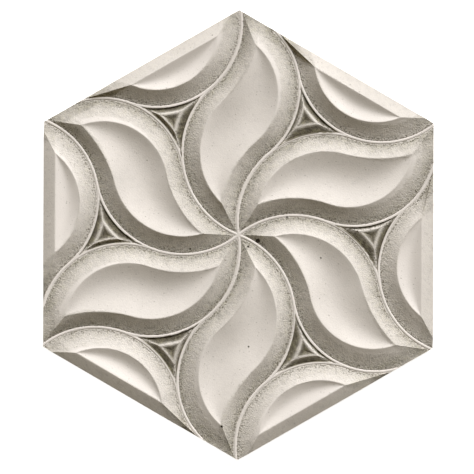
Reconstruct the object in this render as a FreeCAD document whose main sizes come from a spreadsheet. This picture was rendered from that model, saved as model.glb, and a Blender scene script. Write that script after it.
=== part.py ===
"""Relief floor tile: one pressed and fired ceramic hexagon with a whirl of leaves."""

import FreeCAD, Part
import Sketcher
import math
import os

from FreeCAD import Vector

# The driving dimensions, in millimetres and degrees.
SIZES = {
    "across_flats": 285.0,
    "crest_level": 13.0,
    "flank_rise": 4.6,
    "bead_rise": 0.7,
    "bead_width": 2.0,
    "lead_bearing": 9.17,
    "bend_bearing": 71.27,
    "tail_bearing": -51.53,
    "waist_bearing": 69.69,
    "round_band": 13.2,
    "hollow_band": 12.5,
    "tip_band": 11.5,
    "edge_band": 16.1,
    "tip_stretch": 3.0,
    "crest_bend_bearing": 75.0,
    "crest_waist_bearing": 71.3,
    "lens_border": 8.8,
    "lens_run_out": 4.0,
    "lens_band": 11.7,
    "lens_low_tip": 23.0,
    "lens_high_tip": 34.9,
    "crest_land": 0.6,
    "dish_rim_angle": 12.5,
    "dish_lift": 0.3,
    "edge_overrun": 3.0,
    "pit_depth": 1.2,
    "stud_gap": 1.2,
    "stud_outer_band": 1.6,
    "stud_root_band": 5.2,
    "stud_side_band": 3.9,
    "stud_rise": 1.6,
    "socket_share": 0.8,
    "socket_depth": 0.8,
    "key_depth": 0.6,
    "key_width": 8.0,
    "key_pitch": 20.0,
    "key_margin": 12.0,
    "foot_chamfer": 0.8,
}
LEAVES = 6
TURN = 360.0 / LEAVES
UP = Vector(0, 0, 1)
PETAL_STATIONS = (0.02, 0.1, 0.22, 0.36, 0.5, 0.64, 0.78, 0.9, 0.98)
LENS_STATIONS = (0.03, 0.15, 0.32, 0.5, 0.68, 0.85, 0.97)

doc = FreeCAD.newDocument("hexagon_floor_tile")
sheet = doc.addObject("Spreadsheet::Sheet", "Sizes")
for row, (alias, value) in enumerate(SIZES.items(), start=1):
    sheet.set(f"A{row}", alias)
    sheet.set(f"B{row}", str(value))
    sheet.setAlias(f"B{row}", alias)
doc.recompute()


def size(alias):
    """The number that a cell of the sheet holds."""
    return float(sheet.get(alias))


def turned(point, degrees):
    """A point turned about the middle of the tile."""
    return FreeCAD.Rotation(UP, degrees).multVec(point)


def polar(radius, degrees):
    """The point at a distance and a bearing from the middle."""
    return turned(Vector(radius, 0, 0), degrees)


def crossing(circle_a, circle_b, near):
    """The point where two circles cross, the one of the two that lies nearer."""
    (centre_a, radius_a), (centre_b, radius_b) = circle_a, circle_b
    apart = centre_b - centre_a
    gap = apart.Length
    along = (radius_a ** 2 - radius_b ** 2 + gap ** 2) / (2 * gap)
    aside = math.sqrt(radius_a ** 2 - along ** 2)
    direction = apart / gap
    foot = centre_a + direction * along
    ends = [foot + UP.cross(direction) * (aside * side) for side in (1, -1)]
    return min(ends, key=lambda end: (end - near).Length)


def at_x(circle, x, near):
    """The point where a circle meets an upright line, the one that lies nearer."""
    centre, radius = circle
    aside = math.sqrt(radius ** 2 - (x - centre.x) ** 2)
    ends = [Vector(x, centre.y + side * aside, 0) for side in (1, -1)]
    return min(ends, key=lambda end: (end - near).Length)


def grown(circle, amount):
    """The concentric circle whose radius is larger by the amount."""
    return circle[0], circle[1] + amount


def bearing(alias):
    """The unit vector along a bearing of the sheet."""
    return polar(1, size(alias))


def joined(circle, direction, point):
    """The circle through a point that touches another from outside, on the given side."""
    centre, radius = circle
    far = point - centre
    along = direction.dot(far)
    other = (2 * radius * along - radius ** 2 - far.dot(far)) / (2 * (radius - along))
    return centre + direction * (radius + other), other


def nestled(circle, neighbour, direction):
    """The circle that touches two touching circles, the first of them on the given side."""
    (centre, radius), (next_centre, next_radius) = circle, neighbour
    along = direction.dot(next_centre - centre)
    reach = 2 * radius * next_radius / (along + next_radius - radius)
    return centre + direction * reach, reach - radius


def nested_radius(*radii):
    """The radius of the small circle between three circles that touch each other."""
    bends = [1 / radius for radius in radii]
    pairs = bends[0] * bends[1] + bends[1] * bends[2] + bends[2] * bends[0]
    return 1 / (sum(bends) + 2 * math.sqrt(pairs))


def touch(circle_a, circle_b):
    """The point where two circles touch from outside."""
    (centre_a, radius_a), (centre_b, radius_b) = circle_a, circle_b
    return centre_a + (centre_b - centre_a).normalize() * radius_a


HALF = size("across_flats") / 2
CORNER = Vector(HALF, HALF * math.tan(math.radians(30)), 0)
LOW_CORNER = turned(CORNER, -TURN)
BEAD = size("bead_width") / 2

# The middle lines of the beads, as circles that touch. From the middle of the tile the
# lead bends one way, and at the bend the tail takes over and runs out at a corner, the
# other way. The belly lies between a neighbour's lead, which it touches at the waist, and
# the neighbour's tail.
start, bend, stop = bearing("lead_bearing"), bearing("bend_bearing"), bearing("tail_bearing")
tail_end = CORNER + stop * BEAD
first, second = start + bend, bend + stop
slant = first.x * second.y - first.y * second.x
lead_radius = (tail_end.x * second.y - tail_end.y * second.x) / slant
tail_radius = (first.x * tail_end.y - first.y * tail_end.x) / slant
lead = (start * lead_radius, lead_radius)
tail = (tail_end - stop * tail_radius, tail_radius)
low_lead = (turned(lead[0], -TURN), lead_radius)
low_tail = (turned(tail[0], -TURN), tail_radius)
belly = nestled(low_lead, low_tail, bearing("waist_bearing"))
PIT_MIDDLE = polar(HALF * 2 / 3, 0)


def arc(circle, start, end, clockwise=False):
    """An arc for an outline: its curve, and whether it is walked against its own sense."""
    first, last = (end, start) if clockwise else (start, end)
    angles = [math.atan2(p.y - circle[0].y, p.x - circle[0].x) for p in (first, last)]
    curve = Part.ArcOfCircle(Part.Circle(circle[0], UP, circle[1]), *angles)
    return curve, clockwise


def line(start, end):
    """A straight edge for an outline."""
    return Part.LineSegment(start, end), False


def closed(points):
    """The straight edges of a polygon."""
    return [line(a, b) for a, b in zip(points, points[1:] + points[:1])]


def petal_foot():
    """The five corners of a petal's foot and its edges, at the side of the beads."""
    circles = grown(lead, -BEAD), grown(tail, BEAD), grown(belly, -BEAD), grown(low_lead, BEAD)
    upper, end, under, root = circles
    tip = crossing(upper, root, Vector(0, 0, 0))
    bend = touch(upper, end)
    high = at_x(end, HALF, CORNER)
    low = at_x(under, HALF, Vector(HALF, 0, 0))
    waist = touch(under, root)
    edges = [
        arc(upper, tip, bend, True),
        arc(end, bend, high),
        line(high, low),
        arc(under, low, waist, True),
        arc(root, waist, tip),
    ]
    return [tip, bend, high, low, waist], edges


def petal_crest():
    """The edges of a petal's crest line, from its inner tip round by its outer one."""
    upper = grown(lead, -size("round_band"))
    root = grown(low_lead, size("hollow_band"))
    tip = crossing(upper, root, Vector(0, HALF / 4, 0))
    far = at_x(grown(tail, size("tip_band")), HALF - size("edge_band"), Vector(HALF, 0, 0))
    end = joined(upper, bearing("crest_bend_bearing"), far)
    under = joined(root, bearing("crest_waist_bearing"), far)
    bend = touch(upper, end)
    waist = touch(under, root)
    near_far = crossing(under, (far, size("tip_stretch")), Vector(HALF, 0, 0))
    return [
        arc(upper, tip, bend, True),
        arc(end, bend, far),
        arc(under, far, near_far, True),
        arc(under, near_far, waist, True),
        arc(root, waist, tip),
    ]


def lens_foot(low_x):
    """The three corners of a border leaf's foot and its edges, with the low corner at x."""
    side = grown(low_tail, -BEAD)
    top = grown(belly, BEAD)
    low = at_x(side, low_x, LOW_CORNER)
    shoulder = touch(top, side)
    high = at_x(top, HALF, Vector(HALF, 0, 0))
    edges = [arc(side, low, shoulder, True), arc(top, shoulder, high), line(high, low)]
    return [low, shoulder, high], edges


def lens_crest(foot_shoulder, foot_high):
    """The edges of a border leaf's crest line, worked out from two corners of its foot."""
    low = LOW_CORNER + Vector(-size("lens_border"), size("lens_low_tip"), 0)
    high = foot_high - Vector(size("lens_border"), size("lens_high_tip"), 0)
    bulge = low.x - (low_tail[0].x - low_tail[1] + BEAD + size("lens_band"))
    radius = ((high - low).Length ** 2 / 4 + bulge ** 2) / (2 * bulge)
    centre = (low + high) / 2 + Vector(radius - bulge, 0, 0)
    side = (centre, radius)
    shoulder = centre + (foot_shoulder - centre).normalize() * radius
    return [arc(side, low, shoulder, True), arc(side, shoulder, high, True), line(high, low)]


def pit_outline(insets):
    """The hollow-sided triangle between three beads, at distances inside their sides."""
    top, left, right = (grown(c, BEAD + i) for c, i in zip((belly, low_lead, low_tail), insets))
    first = crossing(top, left, PIT_MIDDLE)
    second = crossing(top, right, PIT_MIDDLE)
    third = crossing(left, right, PIT_MIDDLE)
    return [arc(top, first, second), arc(right, second, third), arc(left, third, first)]


def past_edge(corners, edges, straight):
    """An outline whose straight edge is moved out past the side of the tile."""
    out = Vector(size("edge_overrun"), 0, 0)
    start, end = corners[straight], corners[(straight + 1) % len(corners)]
    moved = [line(start, start + out), line(start + out, end + out), line(end + out, end)]
    return edges[:straight] + moved + edges[straight + 1:]


body = doc.addObject("PartDesign::Body", "HexagonTile")
body.Label = "hexagon_tile"


def origin_feature(role):
    """One of the body's own planes or axes."""
    return next(f for f in body.Origin.OriginFeatures if f.Role == role)


def new_sketch(name, edges, level=None):
    """A closed sketch on a level plane, with the ends of its edges joined."""
    sketch = body.newObject("Sketcher::SketchObject", name)
    sketch.AttachmentSupport = [(origin_feature("XY_Plane"), "")]
    sketch.MapMode = "FlatFace"
    if level:
        sketch.setExpression("AttachmentOffset.Base.z", level)
    ends = []
    for curve, backwards in edges:
        index = sketch.addGeometry(curve, False)
        first, last = (2, 1) if backwards else (1, 2)
        points = [sketch.getPoint(index, which) for which in (first, last)]
        ends += [(points[0], index, first), (points[1], index, last)]
    for place, (point, index, which) in enumerate(ends):
        for other, other_index, other_which in ends[place + 1:]:
            if index != other_index and (point - other).Length < 1e-6:
                pair = (index, which, other_index, other_which)
                sketch.addConstraint(Sketcher.Constraint("Coincident", *pair))
    return sketch


def pad_up(kind, name, sketch, length, upwards):
    """A pad or pocket whose length is worked out from the sheet."""
    feature = body.newObject(kind, name)
    feature.Profile = sketch
    feature.setExpression("Length", length)
    feature.Reversed = upwards
    return feature


def loft(kind, name, sketches, ruled):
    """A loft through closed sketches."""
    feature = body.newObject(kind, name)
    feature.Profile = sketches[0]
    feature.Sections = sketches[1:]
    feature.Ruled = ruled
    return feature


def around(name, features):
    """The features repeated once for every leaf."""
    pattern = body.newObject("PartDesign::PolarPattern", name)
    pattern.Originals = features
    pattern.Axis = (origin_feature("Z_Axis"), [""])
    pattern.Angle = 360
    pattern.Occurrences = LEAVES
    body.Tip = pattern
    return pattern


def rail(edges, share):
    """The point at a share of the length of a run of edges."""
    lengths = [curve.length() for curve, _ in edges]
    distance = share * sum(lengths)
    for (curve, backwards), length in zip(edges, lengths):
        if distance <= length:
            part = distance / length
            part = 1 - part if backwards else part
            first, last = curve.FirstParameter, curve.LastParameter
            return curve.value(first + part * (last - first))
        distance -= length


def dish_sections(name, rail_a, rail_b, shares):
    """Upright round-bottomed sections that span from one crest line to the other."""
    tangent = math.tan(math.radians(size("dish_rim_angle")) / 2)
    sketches = []
    for count, share in enumerate(shares, start=1):
        start, end = rail(rail_a, share), rail(rail_b, share)
        across = (end - start).normalize()
        half_width = (end - start).Length / 2 - size("crest_land")
        depth = half_width * tangent
        radius = (half_width ** 2 + depth ** 2) / (2 * depth)
        height = radius - depth
        lift = size("dish_lift")
        reach = math.sqrt(radius ** 2 - (height - lift) ** 2)
        sketch = body.newObject("Sketcher::SketchObject", f"{name}Section{count}")
        sketch.AttachmentSupport = [(origin_feature("XY_Plane"), "")]
        sketch.MapMode = "FlatFace"
        turn = FreeCAD.Rotation(across, UP, across.cross(UP), "XYZ")
        sketch.AttachmentOffset = FreeCAD.Placement((start + end) / 2, turn)
        sketch.setExpression("AttachmentOffset.Base.z", "Sizes.crest_level")
        circle = Part.Circle(Vector(0, height, 0), UP, radius)
        sweep = math.atan2(lift - height, reach)
        sketch.addGeometry(Part.ArcOfCircle(circle, -math.pi - sweep, sweep), False)
        sketch.addGeometry(Part.LineSegment(Vector(reach, lift, 0), Vector(-reach, lift, 0)), False)
        sketch.addConstraint(Sketcher.Constraint("Coincident", 0, 2, 1, 1))
        sketch.addConstraint(Sketcher.Constraint("Coincident", 1, 2, 0, 1))
        sketches.append(sketch)
    return sketches


foot_level = "Sizes.crest_level - Sizes.flank_rise"
bead_level = foot_level + " + Sizes.bead_rise"
pit_level = foot_level + " - Sizes.pit_depth"
stud_level = pit_level + " + Sizes.stud_rise"
socket_level = stud_level + " - Sizes.socket_depth"

# The slab, up to the tops of the beads.
corners = [turned(CORNER, TURN * n) for n in range(LEAVES)]
slab_sketch = new_sketch("SlabOutline", closed(corners))
slab = pad_up("PartDesign::Pad", "Slab", slab_sketch, bead_level, False)
doc.recompute()
rim = [
    f"Edge{n}"
    for n, edge in enumerate(slab.Shape.Edges, start=1)
    if edge.BoundBox.ZMax < 0.001
]
foot_chamfer = body.newObject("PartDesign::Chamfer", "FootChamfer")
foot_chamfer.Base = (slab, rim)
foot_chamfer.setExpression("Size", "Sizes.foot_chamfer")

# The fields between the beads, sunk to the foot of the leaves and deeper in the pits.
petal_corners, petal_edges = petal_foot()
lens_corners, lens_edges = lens_foot(HALF)
fields = [
    pad_up("PartDesign::Pocket", name, new_sketch(name + "Outline", edges, bead_level), depth, False)
    for name, edges, depth in (
        ("PetalField", past_edge(petal_corners, petal_edges, 2), "Sizes.bead_rise"),
        ("LensField", past_edge(lens_corners, lens_edges, 2), "Sizes.bead_rise"),
        ("Pit", pit_outline((0, 0, 0)), "Sizes.bead_rise + Sizes.pit_depth"),
    )
]
around("FieldsAround", fields)

# The flanks of the leaves, from the foot up to the crest, and of the studs in the pits.
crest_edges = petal_crest()
lens_crest_edges = lens_crest(*lens_corners[1:])
_, run_out_edges = lens_foot(HALF + size("lens_run_out"))
bands = [size(f"stud_{side}_band") for side in ("outer", "root", "side")]
stud_foot = [size("stud_gap")] * len(bands)
stud_crest = [size("stud_gap") + band for band in bands]
flanks = [
    loft(
        "PartDesign::AdditiveLoft",
        name,
        [new_sketch(name + "Foot", foot, low), new_sketch(name + "Crest", crest, high)],
        True,
    )
    for name, foot, low, crest, high in (
        ("Petal", petal_edges, foot_level, crest_edges, "Sizes.crest_level"),
        ("Lens", run_out_edges, foot_level, lens_crest_edges, "Sizes.crest_level"),
        ("Stud", pit_outline(stud_foot), pit_level, pit_outline(stud_crest), stud_level),
    )
]
around("FlanksAround", flanks)

# The hollows inside the crest lines, and the cut along the side that trims a border leaf.
upper_rail, lower_rail = crest_edges[:2], [(c, not b) for c, b in reversed(crest_edges[2:])]
round_rail, straight_rail = lens_crest_edges[:2], [(lens_crest_edges[2][0], True)]
petal_sections = dish_sections("PetalDish", upper_rail, lower_rail, PETAL_STATIONS)
lens_sections = dish_sections("LensDish", round_rail, straight_rail, LENS_STATIONS)
socket_rim = [inset + size("crest_land") for inset in stud_crest]
middle_inset = nested_radius(belly[1], lead_radius, tail_radius) - BEAD
socket_floor = [i + size("socket_share") * (middle_inset - i) for i in socket_rim]
socket_sections = [
    new_sketch("SocketRim", pit_outline(socket_rim), stud_level),
    new_sketch("SocketFloor", pit_outline(socket_floor), socket_level),
]
outside = Vector(2 * size("lens_run_out"), 0, 0)
below = Vector(0, -outside.x, 0)
strip = [LOW_CORNER + below, LOW_CORNER + below + outside, CORNER + outside, CORNER]
hollows = [
    loft("PartDesign::SubtractiveLoft", "PetalDish", petal_sections, False),
    loft("PartDesign::SubtractiveLoft", "LensDish", lens_sections, False),
    loft("PartDesign::SubtractiveLoft", "StudSocket", socket_sections, True),
    pad_up(
        "PartDesign::Pocket",
        "SideTrim",
        new_sketch("SideTrimOutline", closed(strip), "Sizes.crest_level"),
        "Sizes.flank_rise",
        False,
    ),
]
around("HollowsAround", hollows)

# The shallow keys pressed into the back, which the bedding mortar grips.
reach = HALF - size("key_margin")
slope = math.tan(math.radians(30))
key_count = int((reach - size("key_width") / 2) // size("key_pitch"))
key_edges = []
for place in range(-key_count, key_count + 1):
    sides = [place * size("key_pitch") + half * size("key_width") / 2 for half in (-1, 1)]
    ends = [Vector(x, reach * math.hypot(1, slope) - abs(x) * slope, 0) for x in sides]
    points = [Vector(end.x, -end.y, 0) for end in ends] + ends[::-1]
    key_edges += closed(points)
key_sketch = new_sketch("BackKeyOutline", key_edges)
keys = pad_up("PartDesign::Pocket", "BackKeys", key_sketch, "Sizes.key_depth", True)
body.Tip = keys
doc.recompute()

for item in doc.Objects:
    if "Invalid" in item.State or "Error" in item.State:
        raise RuntimeError(f"{item.Name} failed: {item.State}")
if body.Shape.isNull() or not body.Shape.isValid() or len(body.Shape.Solids) != 1:
    raise RuntimeError("the tile is not one valid solid")
os.makedirs("parts", exist_ok=True)
body.Shape.exportStep(f"parts/{body.Label}.step")
box = body.Shape.optimalBoundingBox()
print(f"{body.Label}: {box.XLength:.2f} x {box.YLength:.2f} x {box.ZLength:.2f} mm,")
print(f"{len(body.Shape.Faces)} faces, {body.Shape.Volume / 1000:.1f} cubic centimetres")
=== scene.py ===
# %% [markdown]
# A relief floor tile of fired ceramic, seen from straight above. Six dished petals whirl
# round the middle, a border leaf lies along each side, and small studs sit in sunk pits.
# The real face is pressed in one stroke from one die, so here too it ends as one closed
# mesh. The drawing is made of circles that touch, and each form grows from its outline.

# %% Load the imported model
import bpy
import bmesh
import math
import numpy as np
from mathutils import Matrix, Vector


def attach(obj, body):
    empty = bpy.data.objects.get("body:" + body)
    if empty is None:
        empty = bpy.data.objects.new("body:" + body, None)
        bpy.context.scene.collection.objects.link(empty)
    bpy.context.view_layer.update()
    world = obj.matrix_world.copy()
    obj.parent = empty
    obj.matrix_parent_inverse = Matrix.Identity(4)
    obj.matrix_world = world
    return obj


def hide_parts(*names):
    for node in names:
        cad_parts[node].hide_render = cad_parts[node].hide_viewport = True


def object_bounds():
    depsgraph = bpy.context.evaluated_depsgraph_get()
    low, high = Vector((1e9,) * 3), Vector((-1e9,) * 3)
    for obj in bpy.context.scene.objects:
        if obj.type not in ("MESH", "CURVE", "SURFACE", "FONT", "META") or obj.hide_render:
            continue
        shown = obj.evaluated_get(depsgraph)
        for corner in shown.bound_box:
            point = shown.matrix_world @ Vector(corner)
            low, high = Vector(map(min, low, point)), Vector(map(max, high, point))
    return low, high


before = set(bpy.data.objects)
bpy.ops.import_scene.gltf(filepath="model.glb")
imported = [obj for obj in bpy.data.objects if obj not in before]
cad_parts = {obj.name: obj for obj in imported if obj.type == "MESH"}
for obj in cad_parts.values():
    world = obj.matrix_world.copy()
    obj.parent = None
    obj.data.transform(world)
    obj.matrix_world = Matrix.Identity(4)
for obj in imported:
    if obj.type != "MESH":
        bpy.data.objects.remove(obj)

low_corner, high_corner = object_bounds()
MM = 0.001
HALF = high_corner.x
CREST_LEVEL = high_corner.z
print("tile", [round(side / MM, 1) for side in high_corner - low_corner], "mm")

# %% [markdown]
# Every curved line of the relief is the middle line of a fine bead, and each bead follows
# a circle that touches its neighbours. Three circles are enough: the lead leaves the
# middle of the tile, the tail takes over at the bend and runs out at a corner, and the
# belly leaves a neighbour's lead and ends at the side. A whirl of six needs only these
# three, because the rest are the same circles turned by sixty degrees. Circles that touch
# are fixed by the bearings of the lines through their centres, so four bearings set the
# whole drawing, and the radii follow from where the chain of circles has to end.

# %% The circles of the whirl
LEAVES = 6
TURN = 360 / LEAVES
UP = Vector((0, 0, 1))
MIDDLE = Vector((0, 0, 0))
BEAD_WIDTH = 2.0 * MM
BEAD = BEAD_WIDTH / 2
LEAD_BEARING = 9.17
BEND_BEARING = 71.27
TAIL_BEARING = -51.53
WAIST_BEARING = 69.69


def turned(point, degrees):
    """A point turned about the middle of the tile."""
    return Matrix.Rotation(math.radians(degrees), 3, "Z") @ point


def bearing(degrees):
    """The unit vector at a bearing."""
    return turned(Vector((1, 0, 0)), degrees)


def grown(circle, amount):
    """The concentric circle whose radius is larger by the amount."""
    return circle[0], circle[1] + amount


def touch(circle, neighbour):
    """The point where two circles touch from outside."""
    return circle[0] + (neighbour[0] - circle[0]).normalized() * circle[1]


def crossing(circle, neighbour, near):
    """The point where two circles cross, the one of the two that lies nearer."""
    apart = neighbour[0] - circle[0]
    along = (circle[1] ** 2 - neighbour[1] ** 2 + apart.length_squared) / (2 * apart.length)
    aside = UP.cross(apart.normalized()) * math.sqrt(circle[1] ** 2 - along ** 2)
    foot = circle[0] + apart.normalized() * along
    return min((foot + aside, foot - aside), key=lambda end: (end - near).length)


def at_x(circle, x, near):
    """The point where a circle meets an upright line, the one that lies nearer."""
    aside = Vector((0, math.sqrt(circle[1] ** 2 - (x - circle[0].x) ** 2), 0))
    foot = Vector((x, circle[0].y, 0))
    return min((foot + aside, foot - aside), key=lambda end: (end - near).length)


def joined(circle, direction, point):
    """The circle through a point that touches another from outside, on the given side."""
    centre, radius = circle
    far = point - centre
    along = direction.dot(far)
    other = (2 * radius * along - radius ** 2 - far.dot(far)) / (2 * (radius - along))
    return centre + direction * (radius + other), other


corner = Vector((HALF, HALF * math.tan(math.radians(TURN / 2)), 0))
low_side_corner = turned(corner, -TURN)
side_middle = Vector((HALF, 0, 0))
pit_middle = side_middle * 2 / 3
start, bend, stop = bearing(LEAD_BEARING), bearing(BEND_BEARING), bearing(TAIL_BEARING)
tail_end = corner + stop * BEAD
first, second = start + bend, bend + stop
slant = first.x * second.y - first.y * second.x
lead_radius = (tail_end.x * second.y - tail_end.y * second.x) / slant
tail_radius = (first.x * tail_end.y - first.y * tail_end.x) / slant
lead = (start * lead_radius, lead_radius)
tail = (tail_end - stop * tail_radius, tail_radius)
low_lead = (turned(lead[0], -TURN), lead_radius)
low_tail = (turned(tail[0], -TURN), tail_radius)
waist_direction = bearing(WAIST_BEARING)
spread = waist_direction.dot(low_tail[0] - low_lead[0])
reach = 2 * lead_radius * tail_radius / (spread + tail_radius - lead_radius)
belly = (low_lead[0] + waist_direction * reach, reach - lead_radius)
for name, (centre, radius) in (("lead", lead), ("tail", tail), ("belly", belly)):
    print(name, "radius", round(radius / MM, 2), "mm round", [round(c / MM, 2) for c in centre])

# %% [markdown]
# An outline is drawn the way a compass draws it. One vertex is spun round a circle's
# centre, the last vertex of that arc is spun round the next centre, and so on until it
# comes back. The spin operator leaves an even row of vertices behind, joined by edges,
# and where the next stretch is straight the vertex is extruded instead.


# %% Draw an outline with a compass
def trace(bm, start_point, legs, level):
    """Draws a closed outline of arcs and lines. A leg is its circle or None, its end, its steps."""
    tip = bm.verts.new((start_point.x, start_point.y, level))
    ring = [tip]
    for circle, end, steps in legs:
        end = Vector((end.x, end.y, level))
        made_before = len(bm.verts)
        if circle is None:
            stride = (end - tip.co) / steps
            for _ in range(steps):
                tip = bmesh.ops.extrude_vert_indiv(bm, verts=[tip])["verts"][0]
                tip.co += stride
        else:
            centre = Vector((circle[0].x, circle[0].y, level))
            here, there = tip.co - centre, end - centre
            angle = math.atan2(here.cross(there).z, here.dot(there))
            spun = bmesh.ops.spin(bm, geom=[tip], cent=centre, axis=UP, angle=angle, steps=steps)
            tip = spun["geom_last"][0]
        bm.verts.ensure_lookup_table()
        ring += bm.verts[made_before:]
    bmesh.ops.weld_verts(bm, targetmap={ring[-1]: ring[0]})
    return ring[:-1]


def outline_points(start_point, legs):
    """The places of an outline's vertices, with no mesh kept."""
    bm = bmesh.new()
    points = [vert.co.copy() for vert in trace(bm, start_point, legs, 0)]
    bm.free()
    return points


# %% [markdown]
# A leaf is grown from its outline ring by ring. Extruding the ring's edges gives each
# vertex a partner, and the partner is then moved to its own place, so the mitres at the
# corners stay sharp and every flank is made of clean quads. The rings climb the flank,
# pass over the narrow crest, and go down into the dish until both sides meet.


# %% Grow a form ring by ring
def climb(bm, ring, places):
    """Extrudes a closed ring of edges and moves the new vertices to the places."""
    edges = [bm.edges.get((a, b)) for a, b in zip(ring, ring[1:] + ring[:1])]
    made = bmesh.ops.extrude_edge_only(bm, edges=edges)["geom"]
    fresh = {item for item in made if isinstance(item, bmesh.types.BMVert)}
    following = []
    for vert, place in zip(ring, places):
        partner = next(e.other_vert(vert) for e in vert.link_edges if e.other_vert(vert) in fresh)
        partner.co = place
        following.append(partner)
    return following


def raised(point, level):
    """A point of the plan, put at a level."""
    return Vector((point.x, point.y, level))


def finish_solid(bm, name):
    """Closes a form, turns its faces outwards and gives it an object."""
    bmesh.ops.holes_fill(bm, edges=bm.edges)
    bmesh.ops.remove_doubles(bm, verts=bm.verts, dist=0.002 * MM)
    bmesh.ops.recalc_face_normals(bm, faces=bm.faces)
    open_edges = sum(not edge.is_manifold for edge in bm.edges)
    mesh = bpy.data.meshes.new(name)
    bm.to_mesh(mesh)
    bm.free()
    thing = bpy.data.objects.new(name, mesh)
    bpy.context.scene.collection.objects.link(thing)
    print(name, len(mesh.polygons), "faces,", open_edges, "open edges")
    return thing


def six_times(bm):
    """Repeats what is in the mesh for every leaf."""
    geometry = bm.verts[:] + bm.edges[:] + bm.faces[:]
    for count in range(1, LEAVES):
        copy = bmesh.ops.duplicate(bm, geom=geometry)["geom"]
        verts = [item for item in copy if isinstance(item, bmesh.types.BMVert)]
        turn = Matrix.Rotation(math.radians(TURN * count), 3, "Z")
        bmesh.ops.rotate(bm, verts=verts, cent=MIDDLE, matrix=turn)


# %% [markdown]
# The flank isn't a plain slope. Light on the real face shows it nearly level beside the
# bead and steep from the middle up, as a hollow that a round-nosed cutter leaves in a
# die. The slope grows along an exponential curve, which the rows below sample closely
# near the foot. The dish is a shallow hollow. Its rows go from a crest vertex to the
# middle between it and its opposite number, and the two sides merge there. Its depth
# comes from how far a point lies from the crest on either side, so the slope is the same
# all along a rim. A small fold gives a round hollow, and a large one a sharp valley.

# %% The section of a leaf
FLANK_RISE = 4.6 * MM
FOOT_LEVEL = CREST_LEVEL - FLANK_RISE
SKIRT = 2.5 * MM  # how far a form reaches down into the blank
TUCK = 0.15 * MM  # how far a leaf's foot runs under the bead
EASE = 0.2  # the share of the band in which the slope grows
CREST_LAND = 0.6 * MM
CREST_ROUND = 0.05 * MM
FLANK_ROWS = (0.05, 0.11, 0.18, 0.27, 0.38, 0.52, 0.68, 0.84, 0.96)
DISH_ROWS = (0.07, 0.15, 0.25, 0.37, 0.5, 0.63, 0.76, 0.88, 1.0)
NEARLY_NONE = 0.001 * MM


def flank_height(share):
    """The height up a flank, as a share of its rise, at a share of its width."""
    def climbed(x):
        return x - EASE * (1 - math.exp(-x / EASE))
    return climbed(share) / climbed(1)


def hollow_depth(distances, slopes, fold):
    """How deep a dish is at distances from its two crests, with the slope from either one."""
    falls = [max(away - CREST_LAND, NEARLY_NONE) * slope for away, slope in zip(distances, slopes)]
    return sum(fall ** -fold for fall in falls) ** (-1 / fold)


def grow_leaf(bm, foot, crest, depth, settle=None):
    """One leaf from its outlines, which hold as many points as each other, and its dish.

    Where one side has a section of its own, settle moves a ring of the flank to suit it.
    """
    count = len(foot)
    ring = [bm.verts.new(raised(point, FOOT_LEVEL - SKIRT)) for point in foot]
    for a, b in zip(ring, ring[1:] + ring[:1]):
        bm.edges.new((a, b))
    ring = climb(bm, ring, [raised(point, FOOT_LEVEL) for point in foot])
    for share in FLANK_ROWS:
        level = FOOT_LEVEL + (FLANK_RISE - CREST_ROUND) * flank_height(share)
        places = [raised(a.lerp(b, share), level) for a, b in zip(foot, crest)]
        ring = climb(bm, ring, settle(places, level) if settle else places)
    ring = climb(bm, ring, [raised(point, CREST_LEVEL - CREST_ROUND) for point in crest])
    partners = [crest[-n] for n in range(count)]
    halves = [(a + b) / 2 - a for a, b in zip(crest, partners)]
    for land, drop in ((0.5, 0), (1, CREST_ROUND)):
        places = []
        for point, half in zip(crest, halves):
            at_tip = half.length < CREST_ROUND
            inwards = half * (0 if at_tip else min(land * CREST_LAND / half.length, land / 2))
            places.append(raised(point + inwards, CREST_LEVEL - (CREST_ROUND if at_tip else drop)))
        ring = climb(bm, ring, places)
    rims = [vert.co.copy() for vert in ring]
    for share in DISH_ROWS:
        places = []
        for point, rim, half in zip(crest, rims, halves):
            place = rim.lerp(point + half, share)
            places.append(raised(place, rim.z - depth(place)))
        ring = climb(bm, ring, places)


print("leaves rise", round(FLANK_RISE / MM, 2), "mm from", round(FOOT_LEVEL / MM, 2), "mm up")

# %% [markdown]
# A petal has five edges: the outer side of the whirl follows the lead and then the tail,
# the short straight edge lies along the side of the tile, and the inner side comes back
# along the belly and the neighbour's lead. Its crest line is drawn the same way from
# circles of its own, a band's width inside the beads.

# %% The petals
ROUND_BAND, HOLLOW_BAND, TIP_BAND, EDGE_BAND = 13.2 * MM, 12.5 * MM, 11.5 * MM, 16.1 * MM
CREST_BEND_BEARING, CREST_WAIST_BEARING = 75.0, 71.3
TIP_STRETCH = 3.0 * MM
OVERRUN = 0.3 * MM  # how far a leaf sticks out past the side before it is trimmed
PETAL_RIM_SLOPES = [math.tan(math.radians(angle)) for angle in (15.5, 17.5)]
PETAL_FOLD = 1.7
PETAL_STEPS = (42, 46, 4, 56, 28)
BED = BEAD - TUCK

upper, end = grown(lead, -BED), grown(tail, BED)
under, root = grown(belly, -BED), grown(low_lead, BED)
high = at_x(end, HALF + OVERRUN, corner)
low = at_x(under, HALF + OVERRUN, side_middle)
petal_start = crossing(upper, root, MIDDLE)
petal_ends = (touch(upper, end), high, low, touch(under, root), petal_start)
petal_foot = outline_points(
    petal_start, list(zip((upper, end, None, under, root), petal_ends, PETAL_STEPS))
)

upper, root = grown(lead, -ROUND_BAND), grown(low_lead, HOLLOW_BAND)
far = at_x(grown(tail, TIP_BAND), HALF - EDGE_BAND, side_middle)
end = joined(upper, bearing(CREST_BEND_BEARING), far)
under = joined(root, bearing(CREST_WAIST_BEARING), far)
near_far = crossing(under, (far, TIP_STRETCH), side_middle)
crest_start = crossing(upper, root, Vector((0, HALF / 4, 0)))
crest_ends = (touch(upper, end), far, near_far, touch(under, root), crest_start)
petal_crest = outline_points(
    crest_start, list(zip((upper, end, under, under, root), crest_ends, PETAL_STEPS))
)


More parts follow.
